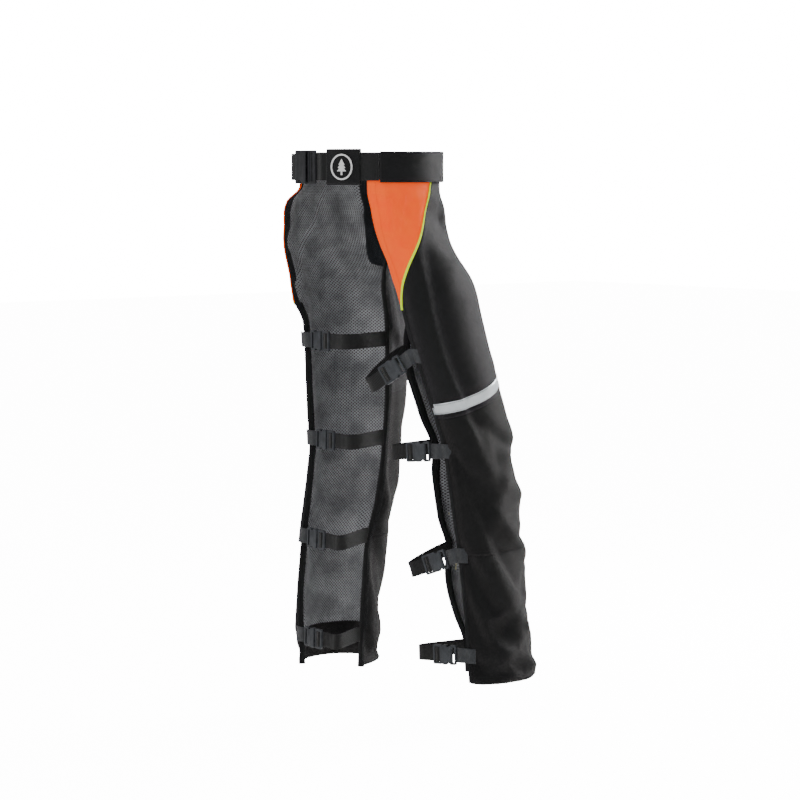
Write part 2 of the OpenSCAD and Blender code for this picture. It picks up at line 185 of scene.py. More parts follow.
thigh_cloth = woven("dense_woven_polyester_black", "050607", "0A0B0D", 1.4, 0.62, 0.19, "C9C0CC")
knee_cloth = woven("abrasion_woven_nylon_charcoal", "08080A", "101012", 1.8, 0.68, 0.14, "C8C0C0", 0.5)
orange_cloth = woven("hi_vis_woven_polyester_orange", "FF4C00", "FF6204", 1.2, 0.6, 0.0, "FFD0A0", 0.2)
piping_cloth = woven("hi_vis_piping_yellow", "C8F000", "E0FF20", 1.2, 0.5, 0.0, "FFFFC0", 0.15)
binding_cloth = woven("folded_binding_tape_black", "08090A", "121315", 1.6, 0.7, 0.15, "B0B0B8", 0.4)
facing_cloth = woven("smooth_woven_facing_black", "0A0C0F", "15191E", 1.2, 0.55, 0.15, "A8B0C0", 0.2)
# Painted light: the orange and yellow cloths get an emission, so they glow though they are no lamp.
for bright, painted_glow, painted_glow_strength in ((orange_cloth, "FF5200", 0.62), (piping_cloth, "DCFF20", 0.35)):
    lit = bright.node_tree.nodes["Principled BSDF"]  # the fluorescent dye's extra brightness is painted on as a glow: the cloth emits light, though it is no lamp
    lit.inputs["Emission Color"].default_value = ink(painted_glow)
    lit.inputs["Emission Strength"].default_value = painted_glow_strength
pad_felt = woven("warp_knit_cut_resistant_fibre", "C9C2A0", "E6E0C4", 3.0, 0.9, 0.2, "FFFFFF", 0.8)
band_cloth = woven("waistband_twill_black", "0B0B0D", "151518", 1.3, 0.62, 0.15, "B8B4BC", 0.3)
elastic_cloth = woven("woven_elastic_black", "0B0B0D", "141417", 1.6, 0.58, 0.15, "B8B8C0", 0.4)

# %% [markdown]
# Webbing is woven with a strong rib across its width. Its ribs are about 1.5 mm apart, drawn at 2 mm.

# %% Webbing
def webbing_finish(name, dark, light, rib, rough=0.6):
    material, tree, shader = finish_named(name, Roughness=rough, IOR=1.5, Sheen__Weight=0.2,
                                          Sheen__Roughness=0.4)
    weave = waves(tree, cloth_uv(tree, 1.2, rib))
    ribs = maths(tree, "ADD", maths(tree, "MULTIPLY", weave[0], 0.25), weave[1])
    shade = maths(tree, "ADD", maths(tree, "MULTIPLY", ribs, 0.22),
                  maths(tree, "MULTIPLY", blotches(tree, 9), 1.0))
    two_tone(tree, shader, shade, dark, light, 0.25, 0.75)
    bumped(tree, shader, ribs, 0.35)
    return material

black_webbing = webbing_finish("ribbed_woven_webbing_black", "030304", "0D0D0F", 2.0)
grey_webbing = webbing_finish("flat_woven_webbing_grey", "2E3034", "3D4045", 1.6)
belt_webbing_cloth = webbing_finish("flat_woven_belt_webbing_black", "08080A", "111214", 1.6)

# %% [markdown]
# The lining is a warp-knit mesh: rows of small round holes, every second row shifted by half a step.
# Rows are drawn 3 mm apart with a hole every 7.6 mm, coarser than real, so that they show. The product
# of a wave across and a wave along gives that pattern: it is high at each hole, and the sign makes the
# shift. The holes are a real pattern, but their near-black colour is painted shade, the dark seen into each
# hole.

# %% Mesh lining and reflective tape
def mesh_finish(name, yarn_dark, yarn_light, hole_shade):
    material, tree, shader = finish_named(name, Roughness=0.55, IOR=1.5, Sheen__Weight=0.3)
    weave = waves(tree, cloth_uv(tree, 7.6, 6.0))
    holes = maths(tree, "MULTIPLY", weave[0], weave[1])
    open_part = add(tree, "ShaderNodeMapRange", {"From Min": 0.18, "From Max": 0.5}, Value=holes)
    yarn = add(tree, "ShaderNodeValToRGB", Fac=blotches(tree, 40))
    yarn.color_ramp.elements[0].color, yarn.color_ramp.elements[1].color = ink(yarn_dark), ink(yarn_light)
    yarn.color_ramp.elements[0].position, yarn.color_ramp.elements[1].position = 0.35, 0.65
    mixed = add(tree, "ShaderNodeMix", {"data_type": "RGBA"})
    tree.links.new(open_part.outputs[0], mixed.inputs[0])
    tree.links.new(yarn.outputs[0], mixed.inputs[6])
    # the holes' near-black colour is painted shade, standing for the dark seen through them
    mixed.inputs[7].default_value = ink(hole_shade)
    tree.links.new(mixed.outputs[2], shader.inputs["Base Color"])
    bumped(tree, shader, maths(tree, "MULTIPLY", open_part.outputs[0], -1.0), 0.9)
    return material

mesh_cloth = mesh_finish("warp_knit_spacer_mesh_grey", "8A8C90", "B4B6BA", "0B0C0D")

tape, tree, shader = finish_named("glass_bead_reflective_tape_silver", Roughness=0.38, Metallic=0.35)
beads = waves(tree, cloth_uv(tree, 1.6, 1.6))
two_tone(tree, shader, maths(tree, "ADD", blotches(tree, 30), maths(tree, "MULTIPLY",
         maths(tree, "MULTIPLY", beads[0], beads[1]), 0.1)), "D3DADF", "EDF2F4")
reflective_tape = tape

# %% [markdown]
# Buckles are injection-moulded acetal: a fine spark-eroded grain, drawn at 0.8 mm, gives a satin gloss,
# and handling leaves the tone a little uneven.

# %% Moulded plastic, badge print and thread
def moulded_finish(name, dark, light, rough):
    material, tree, shader = finish_named(name, IOR=1.48)
    grain = blotches(tree, 0.8, 2.0)
    rubbed = maths(tree, "ADD", maths(tree, "MULTIPLY", grain, 0.35),
                   maths(tree, "MULTIPLY", blotches(tree, 14), 0.65))
    two_tone(tree, shader, rubbed, dark, light, 0.35, 0.65)
    spread = add(tree, "ShaderNodeMapRange", {"To Min": rough - 0.08, "To Max": rough + 0.12},
                 Value=grain)
    tree.links.new(spread.outputs[0], shader.inputs["Roughness"])
    bumped(tree, shader, grain, 0.06)
    return material

grey_acetal = moulded_finish("injection_moulded_acetal_grey", "33363A", "484B50", 0.36)
black_acetal = moulded_finish("injection_moulded_acetal_black", "1E1F22", "303135", 0.33)
badge_print = moulded_finish("screen_printed_silicone_white", "F0F0F0", "FCFCFC", 0.5)
black_thread = woven("bonded_polyester_thread_black", "08080A", "1A1A1D", 0.8, 0.5, 0.1)
orange_thread = woven("bonded_polyester_thread_orange", "B0460E", "C9551A", 0.8, 0.5, 0.1)
print("materials:", len(bpy.data.materials))

# %% [markdown]
# ## The leg's pattern
# A leg panel is a cloth pattern bent round a leg. Two numbers place a point on it: z, its height in
# millimetres below the belt's middle, and f, which runs across the cloth from the rear outer edge (0)
# to the front or inner edge (1). Near the belt the panel follows the waist's oval, further down it
# follows the leg, and an eased blend joins the two over the hip.

# %% Waist and leg shape
HIP_TOP, HIP_LENGTH, TUCK = -28.5, 222, 2.8
BAR_R, SIDE_R, SIDE_X, ARC_OFF, JOIN_A = 200, 89.6875, 70.3125, 85, 50.4022
STATIONS = (
    ((0, 104, -20, 104), (-120, 106, -25, 104), (-280, 110, -57, 107), (-350, 112, -62, 105),
     (-450, 112, -63, 102), (-550, 110, -59, 93), (-650, 108, -41, 90), (-715, 106, -20, 84),
     (-840, 104, -9, 82), (-1000, 102, -4, 75)),
    ((0, 103, -20, 92), (-120, 103, -35, 94), (-270, 104, -71, 96), (-345, 106, -95, 95),
     (-450, 108, -133, 90), (-540, 110, -162, 86), (-640, 113, -175, 85), (-718, 116, -187, 84),
     (-835, 119, -199, 82), (-1000, 122, -210, 78)))
TURN = (3, -3)
SIDE = (1, -1)
NAMES = ("left", "right")
CLOTH_WIDTH = 425

def wave_of(degrees):
    return math.cos(math.radians(degrees)), math.sin(math.radians(degrees))

def ease(t):
    t = max(0.0, min(1.0, t))
    return t * t * (3 - 2 * t)

def mix(a, b, t):
    return a + (b - a) * t

def station(k, i, z):
    rows = STATIONS[k]
    if z >= rows[0][0]:
        return rows[0][i]
    for upper, lower in zip(rows, rows[1:]):
        if z >= lower[0]:
            return mix(upper[i], lower[i], (z - upper[0]) / (lower[0] - upper[0]))
    return rows[-1][i]

def smooth_station(k, i, z):
    return (station(k, i, z - 30) + 2 * station(k, i, z) + station(k, i, z + 30)) / 4

def oval(n, depth):
    c, s = wave_of(n)
    if abs(n) <= JOIN_A:
        return SIDE_X + (SIDE_R - depth) * c, -(SIDE_R - depth) * s
    return (BAR_R - depth) * c, (ARC_OFF if n > 0 else -ARC_OFF) - (BAR_R - depth) * s

def face_angle(k, f):
    return -74 + 255 * f + TURN[k]

def bare_panel(k, z, f, depth):
    """A point of leg k's panel before any folds, in millimetres, on the wearer's left as +x."""
    t = ease((HIP_TOP - z) / HIP_LENGTH)
    # Below the hip the right leg's panel reaches further round, and each hip stands out 12 mm.
    wrap = 24 * ease((-270 - z) / 110) * (1 - 0.7 * ease((-800 - z) / 120)) if k else 0
    a = face_angle(k, f) + f * wrap
    c, s = wave_of(a)
    r = smooth_station(k, 3, z)
    hip = 12 * ease(1 - abs(z + 127) / 90) * max(0, wave_of(a + (20 if k else 50))[0]) ** 2
    w = oval(-60 + 148 * f, depth + TUCK - hip)
    lx = smooth_station(k, 1, z) + (0.96 * r - depth + hip) * c
    ly = smooth_station(k, 2, z) - (1.03 * r - depth + hip) * s
    return mix(w[0], lx, t), mix(w[1], ly, t)

print("waist point at the side:", [round(v, 1) for v in oval(0, 0)])

# %% [markdown]
# ## Folds
# Worn cloth is never smooth. A plain sheet with the panel's shape is hung by its top and by its edges
# where the straps are sewn, given a little more cloth than the space it spans, and left to fall for a
# short cloth simulation. How far each point moved out of the surface is kept as a fold map, capped, and
# a few broad folds are pressed in at the knee and shin. Every layer reads the same map, so the
# shell, the pad and the lining crease together.

# %% Seam lines and strap heights
LENGTH = (958, 980)
KNEE_MID, KNEE_LEAN = (-432, -440), (12, 32)
SHIN_MID, SHIN_LEAN = (-706, -725), (2, 7)
HEM_LEAN = (2, 4)
GUSSET_TIP = -262
STRAP_Z = ((-331, -521, -708, -899), (-350, -533, -733, -928))

def knee_z(k, f):
    return KNEE_MID[k] + KNEE_LEAN[k] * wave_of(face_angle(k, f))[1]

def shin_z(k, f):
    return SHIN_MID[k] + SHIN_LEAN[k] * wave_of(face_angle(k, f))[1]

def hem_z(k, f):
    return -LENGTH[k] + HEM_LEAN[k] * wave_of(face_angle(k, f))[1]

def gusset_f(z):
    return 0.48 * (1 - max(0, min(1, (HIP_TOP - z) / (HIP_TOP - GUSSET_TIP))) ** 1.2) ** 1.7

def facing_f(z):
    return 0.78 - 0.19 * ease((-70 - z) / 120) + 0.38 * ease((-186 - z) / 22)

# %% Fold map
FOLD_COLS, FOLD_ROWS = 46, 104
FOLD_CAP = 7.5

def world_mm(k, p, z):
    return Vector((SIDE[k] * p[0], p[1], z)) / 1000

def outward(k, z, f):
    """The unit direction out of the cloth at a point, from its neighbours on the bare panel."""
    e = 0.004
    across = world_mm(k, bare_panel(k, z, f + e, 0), z) - world_mm(k, bare_panel(k, z, f - e, 0), z)
    down = world_mm(k, bare_panel(k, z - 4, f, 0), z - 4) - world_mm(k, bare_panel(k, z + 4, f, 0), z + 4)
    return (down.cross(across) * -SIDE[k]).normalized()

def hung_cloth(k):
    top, bottom = HIP_TOP, -LENGTH[k]
    bm = bmesh.new()
    bmesh.ops.create_grid(bm, x_segments=FOLD_COLS, y_segments=FOLD_ROWS, size=0.5)
    held = []
    for v in bm.verts:
        f, z = v.co.x + 0.5, mix(bottom, top, v.co.y + 0.5)
        jitter = 1.6 * noise.noise(Vector((f * 9, z / 55, 5.1 + k)))
        near_strap = max(ease(1 - abs(z - s) / 30) for s in STRAP_Z[k])
        at_edge = ease(1 - min(f, 1 - f) / 0.03)
        hold = max(ease(1 - (top - z) / 26), at_edge * max(near_strap, 0.35 if z > -270 else 0.12),
                   0.6 * ease(1 - (z - bottom) / 16))
        v.co = world_mm(k, bare_panel(k, z, f, 4 - jitter), z)
        held.append((v.index, hold, f, z))
    mesh = bpy.data.meshes.new("hung_cloth")
    bm.to_mesh(mesh)
    bm.free()
    cloth = bpy.data.objects.new("hung_cloth", mesh)
    bpy.context.collection.objects.link(cloth)
    start = [v.co.copy() for v in mesh.vertices]
    group = cloth.vertex_groups.new(name="held")
    for index, hold, f, z in held:
        group.add([index], hold, "REPLACE")
    modifier = cloth.modifiers.new("drape", "CLOTH")
    s = modifier.settings
    s.quality, s.mass = 6, 0.35
    s.tension_stiffness = s.compression_stiffness = 22
    s.shear_stiffness, s.bending_stiffness = 8, 1.2
    s.tension_damping = s.compression_damping = 12
    s.vertex_group_mass, s.pin_stiffness = "held", 1.2
    s.shrink_min = -0.035
    s.effector_weights.gravity = 0.25
    modifier.point_cache.frame_start, modifier.point_cache.frame_end = 1, 26
    for step in range(1, 27):
        bpy.context.scene.frame_set(step)
    shaped = cloth.evaluated_get(bpy.context.evaluated_depsgraph_get()).data
    table = [[0.0] * (FOLD_COLS + 1) for row in range(FOLD_ROWS + 1)]
    for (index, hold, f, z), before in zip(held, start):
        moved = (shaped.vertices[index].co - before).dot(outward(k, z, f)) * 1000
        i, j = round(f * FOLD_COLS), round((top - z) / (top - bottom) * FOLD_ROWS)
        table[j][i] = moved
    bpy.data.objects.remove(cloth)
    bpy.data.meshes.remove(mesh)
    bpy.context.scene.frame_set(1)
    return table

fold_maps = [hung_cloth(k) for k in (0, 1)]
for k in (0, 1):
    every = [v for row in fold_maps[k] for v in row]
    print(NAMES[k], "folds from", round(min(every), 1), "to", round(max(every), 1), "mm")

# %% Pressed folds
# Each fold: middle across (f), middle height (mm), length, width, lean in degrees, height (mm).
PRESSED = (
    ((0.62, -300, 120, 26, 35, 3.0), (0.40, -250, 150, 30, -30, 2.5), (0.55, -560, 150, 24, 30, -4.0),
     (0.75, -590, 120, 20, -35, 3.5), (0.86, -660, 110, 16, 50, 3.0), (0.35, -640, 120, 22, -25, 3.0),
     (0.60, -820, 130, 26, 35, -3.0), (0.85, -560, 150, 14, 75, 2.5), (0.82, -850, 120, 16, 65, 2.5)),
    ((0.46, -150, 110, 20, 40, 3.0), (0.60, -225, 130, 24, -30, 3.5), (0.30, -395, 120, 16, 20, 2.0),
     (0.50, -490, 120, 16, 35, 5.5), (0.42, -545, 150, 15, -38, -6.0), (0.30, -590, 150, 20, 62, 5.0),
     (0.54, -600, 110, 14, 24, 5.0), (0.56, -655, 140, 17, -30, 6.0), (0.48, -700, 90, 12, 12, -5.0),
     (0.24, -660, 120, 14, -50, 3.5), (0.52, -765, 110, 16, -42, 6.0), (0.38, -800, 160, 18, 48, -5.5),
     (0.54, -830, 110, 13, 20, -4.5), (0.30, -870, 150, 18, -60, 5.0), (0.52, -900, 120, 15, 50, 5.5),
     (0.44, -955, 120, 13, -20, 4.0), (0.22, -930, 110, 14, 40, 3.5)))

def fold_at(k, z, f):
    """How far the cloth stands out of the bare panel here, in millimetres."""
    top, bottom = HIP_TOP, -LENGTH[k]
    x = max(0.0, min(FOLD_COLS - 1e-6, f * FOLD_COLS))
    y = max(0.0, min(FOLD_ROWS - 1e-6, (top - z) / (top - bottom) * FOLD_ROWS))
    i, j = int(x), int(y)
    m = fold_maps[k]
    grown = mix(mix(m[j][i], m[j][i + 1], x - i), mix(m[j + 1][i], m[j + 1][i + 1], x - i), y - j)
    grown = FOLD_CAP * math.tanh(grown / FOLD_CAP)
    for mid, height, long, wide, lean, rise in PRESSED[k]:
        dx, dz = (f - mid) * CLOTH_WIDTH, z - height
        c, s = wave_of(lean)
        a, b = (dx * c + dz * s) / long, (dz * c - dx * s) / wide
        if abs(a) < 2 and abs(b) < 3:
            grown += rise * math.exp(-b * b) * max(0, 1 - a * a / 4) ** 2
    calm_edges = ease(min(f, 1 - f) / 0.07)
    grown *= (0.12 + 0.88 * calm_edges) * ease((HIP_TOP - 6 - z) / 40)
    # The left cloth swells at the seat and its rear edge stands off; the right one lies in at the hip,
    # swells at the front and stands off along its inner edge between the straps.
    if k == 0:
        seat = 8 * ease(1 - abs(z + 76) / 46) * ease((0.34 - f) / 0.2)
        flare = 17 * max(0, 1 - f / 0.11) ** 1.3 * ease((-36 - z) / 30) * ease((z + 300) / 50)
        return grown + seat + flare
    tuck_in = 9 * ease((0.15 - f) / 0.15) * ease((-46 - z) / 34) * ease((z + 215) / 50)
    slack = min(ease(abs(z - s) / 60) for s in STRAP_Z[1])
    flare = 9 * slack * ease((f - 0.86) / 0.14) * ease((-300 - z) / 50) * ease((z + 940) / 50)
    return grown + flare - tuck_in + 8 * ease(1 - abs(z + 70) / 42) * ease(1 - abs(f - 0.52) / 0.22)

def panel(k, z, f, depth=0.0):
    """A point of leg k's cloth in metres, in the row frame, with its folds."""
    return world_mm(k, bare_panel(k, z, f, depth - fold_at(k, z, f)), z)

# %% [markdown]
# ## Sewing helper
# Each cloth piece starts as a flat grid, the way cloth starts on a cutting table. Its points are then
# laid on the leg, its edges follow the seam lines, and its cloth coordinates are kept in metres so that
# the weave has one scale on every piece. Solidify gives it its real thickness, inwards. The folds of
# every layer come from one map, so the layers keep their order.

# %% Cloth pieces
def new_piece(name, bm, materials, thick=None, smooth=True):
    mesh = bpy.data.meshes.new(name)
    bm.to_mesh(mesh)
    bm.free()
    for material in materials:
        mesh.materials.append(material)
    if smooth:
        mesh.polygons.foreach_set("use_smooth", [True] * len(mesh.polygons))
    piece = bpy.data.objects.new(name, mesh)
    bpy.context.collection.objects.link(piece)
    if thick:
        solid = piece.modifiers.new("thickness", "SOLIDIFY")
        solid.thickness, solid.offset = thick / 1000, -1
    return piece

def laid_grid(cols, rows, place):
    """place(u, t) gives a point and its cloth coordinates, both in metres, for u and t from 0 to 1."""
    bm = bmesh.new()
    uv = bm.loops.layers.uv.new("cloth")
    bmesh.ops.create_grid(bm, x_segments=cols, y_segments=rows, size=0.5)
    flat = {}
    for v in bm.verts:
        v.co, flat[v.index] = place(v.co.x + 0.5, v.co.y + 0.5)
    bm.verts.index_update()
    for face in bm.faces:
        for loop in face.loops:
            loop[uv].uv = flat[loop.vert.index]
    return bm

def laid_cloth(name, cols, rows, place, material, thick=None, away_from=None, flip=False):
    """An open cloth whose faces look away from the point that away_from(p) gives, or are turned by flip."""
    bm = laid_grid(cols, rows, place)
    bm.normal_update()
    if flip:
        bmesh.ops.reverse_faces(bm, faces=bm.faces[:])
    if away_from is not None:
        middles = [(face, face.calc_center_median()) for face in bm.faces]
        lean = sum(face.normal.dot(p - away_from(p)) * face.calc_area() for face, p in middles)
        if lean < 0:
            bmesh.ops.reverse_faces(bm, faces=bm.faces[:])
    return new_piece(name, bm, [material], thick)

def closed_tube(name, around, rows, place, material):
    """A solid strip: place(u, t) comes back to its start at u = 1, and both ends are capped."""
    bm = laid_grid(around, rows, place)
    bmesh.ops.remove_doubles(bm, verts=bm.verts[:], dist=1e-6)
    bmesh.ops.holes_fill(bm, edges=[e for e in bm.edges if e.is_boundary], sides=0)
    bmesh.ops.recalc_face_normals(bm, faces=bm.faces[:])
    return new_piece(name, bm, [material])

def leg_axis(k):
    def middle(p):
        z = p.z * 1000
        return Vector((SIDE[k] * smooth_station(k, 1, z), smooth_station(k, 2, z), z)) / 1000
    return middle

def leg_cloth(name, k, step, top, bottom, left, right, depth, thick, material):
    """One cloth piece of leg k between seam lines top(f), bottom(f) and edges left(z), right(z)."""
    mid_z = (top(0.5) + bottom(0.5)) / 2
    wide = max(right(z) - left(z) for z in (top(0.5), mid_z, bottom(0.5))) * CLOTH_WIDTH
    cols, rows = max(4, round(wide / step)), max(4, round((top(0.5) - bottom(0.5)) / step))
    deep = depth if callable(depth) else (lambda f, z: depth)

    def place(u, t):
        zm = mix(bottom(0.5), top(0.5), t)
        f = mix(left(zm), right(zm), u)
        z = mix(bottom(f), top(f), t)
        f = mix(left(z), right(z), u)
        return panel(k, z, f, deep(f, z)), (f * CLOTH_WIDTH / 1000, zm / 1000)
    return laid_cloth(name, cols, rows, place, material, thick, leg_axis(k))

def join_leg(piece, k, crosses_hip):
    if crosses_hip:
        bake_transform(piece)
    else:
        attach(piece, NAMES[k] + "_leg")
    return piece

def stands_for(piece, node, body):
    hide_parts(node)
    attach(piece, body)

def sewn_sheet(piece, k, node, crosses_hip):
    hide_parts(node)
    join_leg(piece, k, crosses_hip)

# %% [markdown]
# ## Shell, pad and lining
# Each leg has a black thigh cloth, a rougher knee cloth and a shin cloth whose hem turns up inside. The
# lower cloth of each seam is tucked 5 mm under the upper one. Behind them lies the cut-resistant pad,
# and behind that the mesh lining, which comes forward where the gusset has no pad.

# %% The layers of each leg
PAD_IN, MESH_IN, MESH_OUT = 2.9, 8.2, 9.2  # depths under the shell's outer face, in mm
EDGE = 0.036  # width of the bound edge, as a share of the cloth

def shin_place(k):
    top = lambda f: shin_z(k, f) + 4
    outer = LENGTH[k] - abs(SHIN_MID[k])

    def place(u, t):
        f = mix(0.013, 0.987, u)
        run = (1 - t) * (outer + 72)
        bottom, start = hem_z(k, f), top(f)
        length = start - bottom
        reach = run / (outer + 72) * (length + 72)
        cloth_y = (start - reach) / 1000
        if reach < length - 5:
            z, depth = start - reach, mix(0.9, 0.0, ease(reach / 10))
        elif reach < length + 11:
            turn = (reach - length + 5) / 16 * math.pi
            z = bottom + 5 - 5 * math.sin(turn)
            depth = 5.2 - 5.2 * math.cos(turn)
        else:
            z, depth = bottom + 5 + (reach - length - 11), 10.4
        return panel(k, z, f, depth), (f * CLOTH_WIDTH / 1000, cloth_y)
    return place

for k in (0, 1):
    side = NAMES[k]
    thigh = leg_cloth(side + "_thigh_cloth", k, 5.5, lambda f: -23.5, lambda f: knee_z(k, f) - 1,
                      lambda z: max(0.013, gusset_f(z) + 0.012), lambda z: 0.987,
                      lambda f, z: -0.5 * ease(1 - abs(z - knee_z(k, f) - 1) / 5), 1.2, thigh_cloth)
    sewn_sheet(thigh, k, side + "_thigh_shell", True)
    knee = leg_cloth(side + "_knee_cloth", k, 5.5, lambda f: knee_z(k, f) + 4,
                     lambda f: shin_z(k, f) - 1, lambda z: 0.013, lambda z: 0.987,
                     lambda f, z: 0.9 * ease(1 - (knee_z(k, f) + 4 - z) / 9)
                     - 0.5 * ease(1 - abs(z - shin_z(k, f) - 1) / 5), 1.2, knee_cloth)
    sewn_sheet(knee, k, side + "_knee_shell", False)
    shin = laid_cloth(side + "_shin_cloth", 76, 62, shin_place(k), knee_cloth, 1.2, leg_axis(k))
    sewn_sheet(shin, k, side + "_shin_shell", False)

# %% [markdown]
# The pad fills the space between shell and lining. It is stitched round its edge and free inside, so it
# is thinner at its rim and full in its middle.

# %% Pads
for k in (0, 1):
    side = NAMES[k]
    left = lambda z: max(EDGE + 0.01, gusset_f(z) + 0.03)
    right = lambda z: 0.95
    top, bottom = (lambda f: -75.0), (lambda f: hem_z(k, f) + 22)

    def pad_depth(f, z):
        rim = min((f - left(z)) / 0.03, (right(z) - f) / 0.03, (top(f) - z) / 12, (z - bottom(f)) / 12)
        return PAD_IN + 0.9 * (1 - ease(rim))
    pad = leg_cloth(side + "_pad", k, 9, top, bottom, left, right, pad_depth, 3.6, pad_felt)
    soft_edge = pad.modifiers.new("soft edge", "BEVEL")
    soft_edge.width, soft_edge.segments, soft_edge.limit_method = 0.001, 2, "ANGLE"
    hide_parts(side + "_protective_pad")
    join_leg(pad, k, True)
    print(side, "pad", len(pad.data.polygons), "faces")

# %% Mesh linings and belly facings
def lining_depth(f, z):
    covered = ease((f - gusset_f(z) + 0.02) / 0.045) if z > GUSSET_TIP else 1.0
    return mix(2.6, MESH_IN, covered)

for k in (0, 1):
    side = NAMES[k]
    lining = leg_cloth(side + "_mesh", k, 6, lambda f: HIP_TOP + 3, lambda f: hem_z(k, f) + 58,
                       lambda z: mix(0.03, 0.004, ease((z - GUSSET_TIP + 10) / 30)),
                       lambda z: min(facing_f(z), 0.975), lining_depth, 0.8, mesh_cloth)
    sewn_sheet(lining, k, side + "_mesh_lining", True)
    facing = leg_cloth(side + "_facing", k, 7, lambda f: HIP_TOP + 3, lambda f: -209,
                       lambda z: facing_f(z) - 0.012, lambda z: 0.98,
                       lambda f, z: MESH_IN + 1.2, 0.8, facing_cloth)
    sewn_sheet(facing, k, side + "_belly_facing", True)

# %% [markdown]
# The gusset is a single layer of orange cloth. Its free rear edge is turned in and stitched 13 mm from
# the fold. Flat yellow piping is caught in the seam between gusset and thigh cloth.

# %% Gussets, piping and reflective strips
for k in (0, 1):
    side = NAMES[k]

    def gusset_depth(f, z):
        from_edge = f * CLOTH_WIDTH
        hem = -0.7 * ease(1 - (from_edge - 11) / 3) + 0.5 * ease(1 - abs(from_edge - 13.5) / 2.5)
        return hem + 0.8 * ease(1 - (gusset_f(z) - f) * CLOTH_WIDTH / 6)
    gusset = leg_cloth(side + "_gusset", k, 3.2, lambda f: -23.5, lambda f: GUSSET_TIP + 3,
                       lambda z: 0.0, lambda z: gusset_f(z) + 0.004, gusset_depth, 1.2, orange_cloth)
    sewn_sheet(gusset, k, side + "_hip_gusset", True)

    def piping_place(u, t):
        z = mix(GUSSET_TIP - 2, HIP_TOP + 2, t)
        a = u * math.tau
        f = gusset_f(z) + (0.5 + 2.7 * math.cos(a)) / CLOTH_WIDTH + 0.006
        return panel(k, z, f, -0.9 - 1.3 * math.sin(a)), (u * 0.012, z / 1000)
    piping = closed_tube(side + "_piping", 10, 70, piping_place, piping_cloth)
    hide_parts(side + "_hip_piping")
    join_leg(piping, k, True)

    strip = leg_cloth(side + "_strip", k, 5, lambda f: knee_z(k, f) + 28, lambda f: knee_z(k, f) + 8,
                      lambda z: EDGE * 0.35, lambda z: 0.78, -1.0, 0.7, reflective_tape)
    sewn_sheet(strip, k, side + "_reflective_strip", False)

# %% [markdown]
# Both long edges are bound: a cloth tape is folded round all the layers and stitched through, 11 mm in
# on the outside and 15 mm in on the lining side, or 8.5 mm along the right leg's inner edge. Thread
# pulls the tape into small puckers.

# %% Edge bindings
BIND_OUT, BIND_IN, NARROW_IN = 11.0, 15.0, 8.5  # how far the tape reaches in on each face, in mm

def binding_section(u, depth_out, depth_in, reach_in):
    """Across the tape: distance from the panel's edge and depth, both in millimetres."""
    middle, radius = (depth_in + depth_out) / 2, (depth_in - depth_out) / 2
    if u < 0.32:
        return mix(BIND_OUT, radius * 0.6, u / 0.32), depth_out
    if u < 0.62:
        a = (u - 0.32) / 0.30 * math.pi
        return radius * 0.6 * (1 - math.sin(a)), middle - radius * math.cos(a)
    return mix(radius * 0.6, reach_in, (u - 0.62) / 0.38), depth_in

def binding_place(k, top, bottom, at_inner_edge):
    def place(u, t):
        z = mix(bottom, top, t)
        reach_in = BIND_IN
        if at_inner_edge:
            shell_side, lining_side = -1.0, MESH_OUT + 2.2
            reach_in = NARROW_IN if k else BIND_IN
        else:
            shell_side = mix(-1.0, 1.7 if k else -2.0, ease((z - GUSSET_TIP) / 24))
            lining_side = lining_depth(0.01, z) + 2.2
        away, depth = binding_section(u, shell_side, lining_side, reach_in)
        pucker = 0.5 * noise.noise(Vector((z / 9, u * 2, 3.3 + k))) + 0.3 * noise.noise(
            Vector((z / 4, u * 3, 8.8)))
        f = (1 - away / CLOTH_WIDTH) if at_inner_edge else away / CLOTH_WIDTH
        outside = -1 if u < 0.32 else (1 if u > 0.62 else 0)
        return panel(k, z, f, depth + outside * pucker), (u * 0.045, z / 1000)
    return place

for k in (0, 1):
    side = NAMES[k]
    low = -LENGTH[k] - 1
    for tag, top, inner in (("outer", HIP_TOP + 1, False), ("inner", HIP_TOP + 3, True)):
        tape = laid_cloth(side + "_" + tag + "_binding", 20, round((top - low) / 3.5),
                          binding_place(k, top, low, inner), binding_cloth, 0.8,
                          flip=(k == 1) != inner)
        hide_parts(side + "_edge_binding")
        join_leg(tape, k, True)
    print(side, "bindings made")

# %% [markdown]
# ## Belt, buckles and straps
# Webbing and waistband are solid strips: one rounded section carried along a centre line. Centre lines
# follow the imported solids, so buckles, slots and webbing keep their places.

# %% Strips
SECTION = ((-1, 0), (-0.985, 0.7), (-0.94, 1), (-0.5, 1), (0, 1), (0.5, 1), (0.94, 1), (0.985, 0.7),
           (1, 0), (0.985, -0.7), (0.94, -1), (0.5, -1), (0, -1), (-0.5, -1), (-0.94, -1), (-0.985, -0.7))

def through(points, t):
    """A smooth curve through the points, t from 0 to 1."""
    x = max(0.0, min(len(points) - 1 - 1e-6, t * (len(points) - 1)))
    i = int(x)
    u = x - i
    p0, p1, p2, p3 = (points[max(0, min(len(points) - 1, j))] for j in (i - 1, i, i + 1, i + 2))
    return (p1 * 2 + (p2 - p0) * u + (p0 * 2 - p1 * 5 + p2 * 4 - p3) * u * u
            + (p1 * 3 - p0 - p2 * 3 + p3) * u * u * u) / 2

def strip_piece(name, k, centre, wide, width, thick, material, rows):
    """centre and wide: points and width directions in own-side millimetres."""
    length = sum((b - a).length for a, b in zip(centre, centre[1:]))

    def place(u, t):
        a, b = SECTION[round(u * 16) % 16]
        here = through(centre, t)
        ahead = (through(centre, min(1, t + 0.01)) - through(centre, max(0, t - 0.01))).normalized()
        across = through(wide, t)
        across = (across - ahead * across.dot(ahead)).normalized()
        face = ahead.cross(across)
        p = here + across * (a * width / 2) + face * (b * thick / 2)
        return Vector((SIDE[k] * p.x, p.y, p.z)) / 1000, (a * width / 2000, t * length / 1000)
    return closed_tube(name, 16, rows, place, material)

